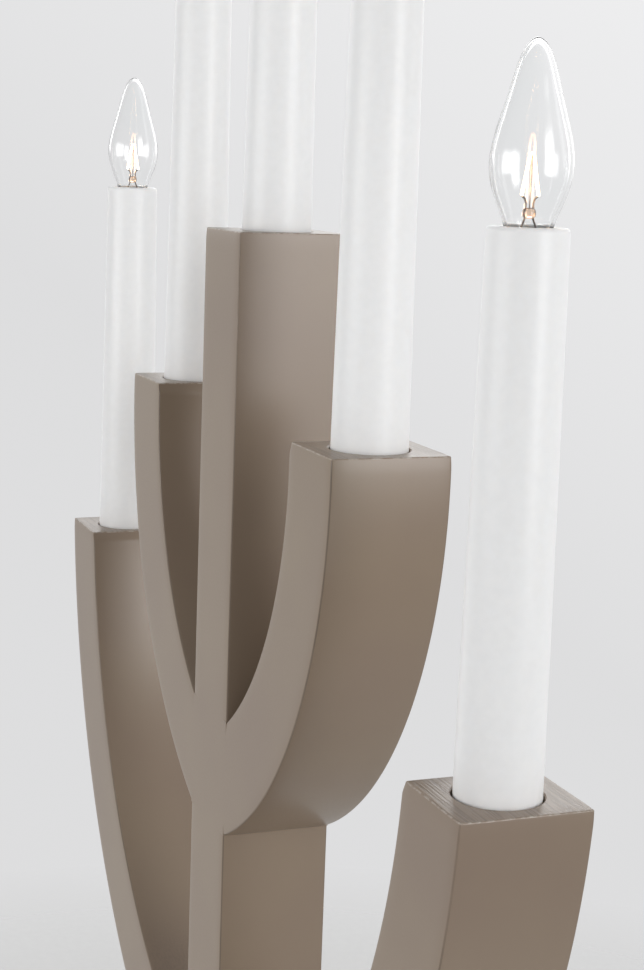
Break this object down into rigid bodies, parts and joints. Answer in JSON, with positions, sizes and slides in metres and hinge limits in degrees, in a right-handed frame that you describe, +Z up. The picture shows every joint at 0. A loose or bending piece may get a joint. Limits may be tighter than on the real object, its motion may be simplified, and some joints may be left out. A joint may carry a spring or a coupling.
{
  "type": "electric candle arch",
  "caption": "Branched wooden candle arch: a post with curved arms in pairs, white electric candles in bored tops and clear flame bulbs that unscrew.",
  "frame": {"origin": "on the table under the middle of the base", "axes": "+X across the arch to the viewer's right, -Y its front, +Z up"},
  "size_m": [0.3118, 0.08, 0.4719],
  "materials": {
    "lacquered_wood": "satin opaque lacquer",
    "felt": "felt",
    "zinc_steel": "zinc plated",
    "rubber": "moulded white rubber",
    "beech": "bare beech",
    "wire_insulation": "white wire",
    "white_plastic": "satin moulded",
    "holder_plastic": "moulded",
    "brass": "drawn",
    "clear_glass": "clear blown glass",
    "mount_wire": "drawn wire",
    "filament": "glowing tungsten"
  },
  "bodies": {
    "frame": {"base": "lacquered_wood", "foot_pads": "felt", "base_screws": "zinc_steel", "inlet_grommet": "rubber", "centre_post": "lacquered_wood", "inner_arm_left": "lacquered_wood", "inner_arm_right": "lacquered_wood", "outer_arm_left": "lacquered_wood", "outer_arm_right": "lacquered_wood", "arm_dowels": "beech", "supply_wires": "wire_insulation", "link_wires": "wire_insulation"},
    "candle_outer_left": {"candle_tube_outer_left": "white_plastic", "lampholder_outer_left": "holder_plastic", "holder_shell_outer_left": "brass", "candle_leads_outer_left": "wire_insulation"},
    "contact_outer_left": {"spring_contact_outer_left": "brass"},
    "bulb_outer_left": {"bulb_cap_outer_left": "brass", "bulb_glass_outer_left": "clear_glass", "bulb_mount_outer_left": "mount_wire", "bulb_filament_outer_left": "filament"},
    "candle_inner_left": {"candle_tube_inner_left": "white_plastic", "lampholder_inner_left": "holder_plastic", "holder_shell_inner_left": "brass", "candle_leads_inner_left": "wire_insulation"},
    "contact_inner_left": {"spring_contact_inner_left": "brass"},
    "bulb_inner_left": {"bulb_cap_inner_left": "brass", "bulb_glass_inner_left": "clear_glass", "bulb_mount_inner_left": "mount_wire", "bulb_filament_inner_left": "filament"},
    "candle_centre": {"candle_tube_centre": "white_plastic", "lampholder_centre": "holder_plastic", "holder_shell_centre": "brass", "candle_leads_centre": "wire_insulation"},
    "contact_centre": {"spring_contact_centre": "brass"},
    "bulb_centre": {"bulb_cap_centre": "brass", "bulb_glass_centre": "clear_glass", "bulb_mount_centre": "mount_wire", "bulb_filament_centre": "filament"},
    "candle_inner_right": {"candle_tube_inner_right": "white_plastic", "lampholder_inner_right": "holder_plastic", "holder_shell_inner_right": "brass", "candle_leads_inner_right": "wire_insulation"},
    "contact_inner_right": {"spring_contact_inner_right": "brass"},
    "bulb_inner_right": {"bulb_cap_inner_right": "brass", "bulb_glass_inner_right": "clear_glass", "bulb_mount_inner_right": "mount_wire", "bulb_filament_inner_right": "filament"},
    "candle_outer_right": {"candle_tube_outer_right": "white_plastic", "lampholder_outer_right": "holder_plastic", "holder_shell_outer_right": "brass", "candle_leads_outer_right": "wire_insulation"},
    "contact_outer_right": {"spring_contact_outer_right": "brass"},
    "bulb_outer_right": {"bulb_cap_outer_right": "brass", "bulb_glass_outer_right": "clear_glass", "bulb_mount_outer_right": "mount_wire", "bulb_filament_outer_right": "filament"}
  },
  "joints": [
    {"name": "lift_outer_left", "type": "slide", "parent": "frame", "child": "candle_outer_left", "axis": [0, 0, 1], "range_m": [0, 0.012]},
    {"name": "rise_outer_left", "type": "slide", "parent": "candle_outer_left", "child": "contact_outer_left", "axis": [0, 0, 1], "range_m": [0, 0.00095]},
    {"name": "unscrew_outer_left", "type": "hinge", "parent": "contact_outer_left", "child": "bulb_outer_left", "pos_m": [-0.14216, 0, 0.3305], "axis": [0, 0, 1], "range_deg": [0, 180]},
    {"name": "lift_inner_left", "type": "slide", "parent": "frame", "child": "candle_inner_left", "axis": [0, 0, 1], "range_m": [0, 0.012]},
    {"name": "rise_inner_left", "type": "slide", "parent": "candle_inner_left", "child": "contact_inner_left", "axis": [0, 0, 1], "range_m": [0, 0.00095]},
    {"name": "unscrew_inner_left", "type": "hinge", "parent": "contact_inner_left", "child": "bulb_inner_left", "pos_m": [-0.06848, 0, 0.3895], "axis": [0, 0, 1], "range_deg": [0, 180]},
    {"name": "lift_centre", "type": "slide", "parent": "frame", "child": "candle_centre", "axis": [0, 0, 1], "range_m": [0, 0.012]},
    {"name": "rise_centre", "type": "slide", "parent": "candle_centre", "child": "contact_centre", "axis": [0, 0, 1], "range_m": [0, 0.00095]},
    {"name": "unscrew_centre", "type": "hinge", "parent": "contact_centre", "child": "bulb_centre", "pos_m": [0, 0, 0.4365], "axis": [0, 0, 1], "range_deg": [0, 180]},
    {"name": "lift_inner_right", "type": "slide", "parent": "frame", "child": "candle_inner_right", "axis": [0, 0, 1], "range_m": [0, 0.012]},
    {"name": "rise_inner_right", "type": "slide", "parent": "candle_inner_right", "child": "contact_inner_right", "axis": [0, 0, 1], "range_m": [0, 0.00095]},
    {"name": "unscrew_inner_right", "type": "hinge", "parent": "contact_inner_right", "child": "bulb_inner_right", "pos_m": [0.06848, 0, 0.3895], "axis": [0, 0, 1], "range_deg": [0, 180]},
    {"name": "lift_outer_right", "type": "slide", "parent": "frame", "child": "candle_outer_right", "axis": [0, 0, 1], "range_m": [0, 0.012]},
    {"name": "rise_outer_right", "type": "slide", "parent": "candle_outer_right", "child": "contact_outer_right", "axis": [0, 0, 1], "range_m": [0, 0.00095]},
    {"name": "unscrew_outer_right", "type": "hinge", "parent": "contact_outer_right", "child": "bulb_outer_right", "pos_m": [0.14216, 0, 0.3305], "axis": [0, 0, 1], "range_deg": [0, 180]}
  ],
  "couplings": [
    {"joint": "rise_outer_left", "follows": "unscrew_outer_left", "m_per_rad": 0.00028807},
    {"joint": "rise_inner_left", "follows": "unscrew_inner_left", "m_per_rad": 0.00028807},
    {"joint": "rise_centre", "follows": "unscrew_centre", "m_per_rad": 0.00028807},
    {"joint": "rise_inner_right", "follows": "unscrew_inner_right", "m_per_rad": 0.00028807},
    {"joint": "rise_outer_right", "follows": "unscrew_outer_right", "m_per_rad": 0.00028807}
  ]
}
